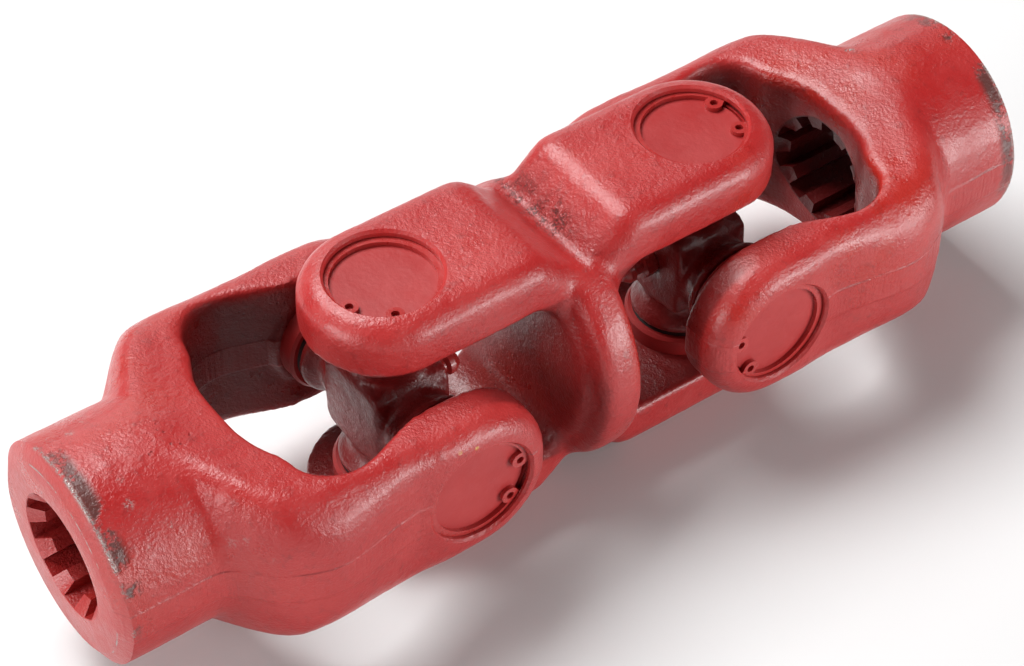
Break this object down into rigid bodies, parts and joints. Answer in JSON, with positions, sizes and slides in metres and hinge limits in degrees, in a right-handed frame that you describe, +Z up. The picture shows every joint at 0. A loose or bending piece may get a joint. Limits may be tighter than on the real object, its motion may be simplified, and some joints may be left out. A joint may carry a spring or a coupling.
{
  "type": "universal joint shaft",
  "caption": "Double universal joint shaft: splined end forks linked by a back-to-back centre yoke through crosses that turn in needle-bearing cups held by circlips.",
  "frame": {"origin": "middle of the centre yoke, half way between the centres of the crosses", "axes": "+X along the shaft towards the right hub, +Z up along the trunnions that the centre yoke holds"},
  "size_m": [0.2896, 0.0916, 0.0864],
  "materials": {
    "red_paint": "satin red paint over a rough forging",
    "painted_cup": "satin red paint over ground steel",
    "painted_circlip": "satin red paint over spring steel",
    "bearing_steel": "ground and polished",
    "spring_steel": "drawn wire",
    "seal_rubber": "matt black",
    "washer_plastic": "natural nylon"
  },
  "bodies": {
    "centre_yoke_unit": {"centre_yoke": "red_paint", "left_top_cup": "painted_cup", "left_top_seal": "seal_rubber", "left_top_thrust_washer": "washer_plastic", "left_top_circlip": "painted_circlip", "left_bottom_cup": "painted_cup", "left_bottom_seal": "seal_rubber", "left_bottom_thrust_washer": "washer_plastic", "left_bottom_circlip": "painted_circlip", "right_top_cup": "painted_cup", "right_top_seal": "seal_rubber", "right_top_thrust_washer": "washer_plastic", "right_top_circlip": "painted_circlip", "right_bottom_cup": "painted_cup", "right_bottom_seal": "seal_rubber", "right_bottom_thrust_washer": "washer_plastic", "right_bottom_circlip": "painted_circlip"},
    "left_cross_unit": {"left_cross": "red_paint", "left_grease_nipple": "red_paint", "left_valve_ball": "bearing_steel", "left_valve_spring": "spring_steel"},
    "left_fork_unit": {"left_end_yoke": "red_paint", "left_front_cup": "painted_cup", "left_front_seal": "seal_rubber", "left_front_thrust_washer": "washer_plastic", "left_front_circlip": "painted_circlip", "left_back_cup": "painted_cup", "left_back_seal": "seal_rubber", "left_back_thrust_washer": "washer_plastic", "left_back_circlip": "painted_circlip"},
    "left_upright_needles": {"left_top_needles": "bearing_steel", "left_bottom_needles": "bearing_steel"},
    "left_level_needles": {"left_front_needles": "bearing_steel", "left_back_needles": "bearing_steel"},
    "right_cross_unit": {"right_cross": "red_paint", "right_grease_nipple": "red_paint", "right_valve_ball": "bearing_steel", "right_valve_spring": "spring_steel"},
    "right_fork_unit": {"right_end_yoke": "red_paint", "right_front_cup": "painted_cup", "right_front_seal": "seal_rubber", "right_front_thrust_washer": "washer_plastic", "right_front_circlip": "painted_circlip", "right_back_cup": "painted_cup", "right_back_seal": "seal_rubber", "right_back_thrust_washer": "washer_plastic", "right_back_circlip": "painted_circlip"},
    "right_upright_needles": {"right_top_needles": "bearing_steel", "right_bottom_needles": "bearing_steel"},
    "right_level_needles": {"right_front_needles": "bearing_steel", "right_back_needles": "bearing_steel"}
  },
  "joints": [
    {"name": "left_cross_swing", "type": "hinge", "parent": "centre_yoke_unit", "child": "left_cross_unit", "pos_m": [-0.0486, 0, 0], "axis": [0, 0, 1], "range_deg": [-30, 30]},
    {"name": "left_fork_swing", "type": "hinge", "parent": "left_cross_unit", "child": "left_fork_unit", "pos_m": [-0.0486, 0, 0], "axis": [0, 1, 0], "range_deg": [-30, 30]},
    {"name": "left_upright_needle_roll", "type": "hinge", "parent": "centre_yoke_unit", "child": "left_upright_needles", "pos_m": [-0.0486, 0, 0], "axis": [0, 0, 1], "range_deg": [-15, 15]},
    {"name": "left_level_needle_roll", "type": "hinge", "parent": "left_cross_unit", "child": "left_level_needles", "pos_m": [-0.0486, 0, 0], "axis": [0, 1, 0], "range_deg": [-18, 18]},
    {"name": "right_cross_swing", "type": "hinge", "parent": "centre_yoke_unit", "child": "right_cross_unit", "pos_m": [0.0486, 0, 0], "axis": [0, 0, 1], "range_deg": [-30, 30]},
    {"name": "right_fork_swing", "type": "hinge", "parent": "right_cross_unit", "child": "right_fork_unit", "pos_m": [0.0486, 0, 0], "axis": [0, 1, 0], "range_deg": [-30, 30]},
    {"name": "right_upright_needle_roll", "type": "hinge", "parent": "centre_yoke_unit", "child": "right_upright_needles", "pos_m": [0.0486, 0, 0], "axis": [0, 0, 1], "range_deg": [-15, 15]},
    {"name": "right_level_needle_roll", "type": "hinge", "parent": "right_cross_unit", "child": "right_level_needles", "pos_m": [0.0486, 0, 0], "axis": [0, 1, 0], "range_deg": [-18, 18]}
  ],
  "couplings": [
    {"joint": "left_upright_needle_roll", "follows": "left_cross_swing", "ratio": 0.4369},
    {"joint": "left_level_needle_roll", "follows": "left_fork_swing", "ratio": 0.5631},
    {"joint": "right_upright_needle_roll", "follows": "right_cross_swing", "ratio": 0.4369},
    {"joint": "right_level_needle_roll", "follows": "right_fork_swing", "ratio": 0.5631}
  ]
}
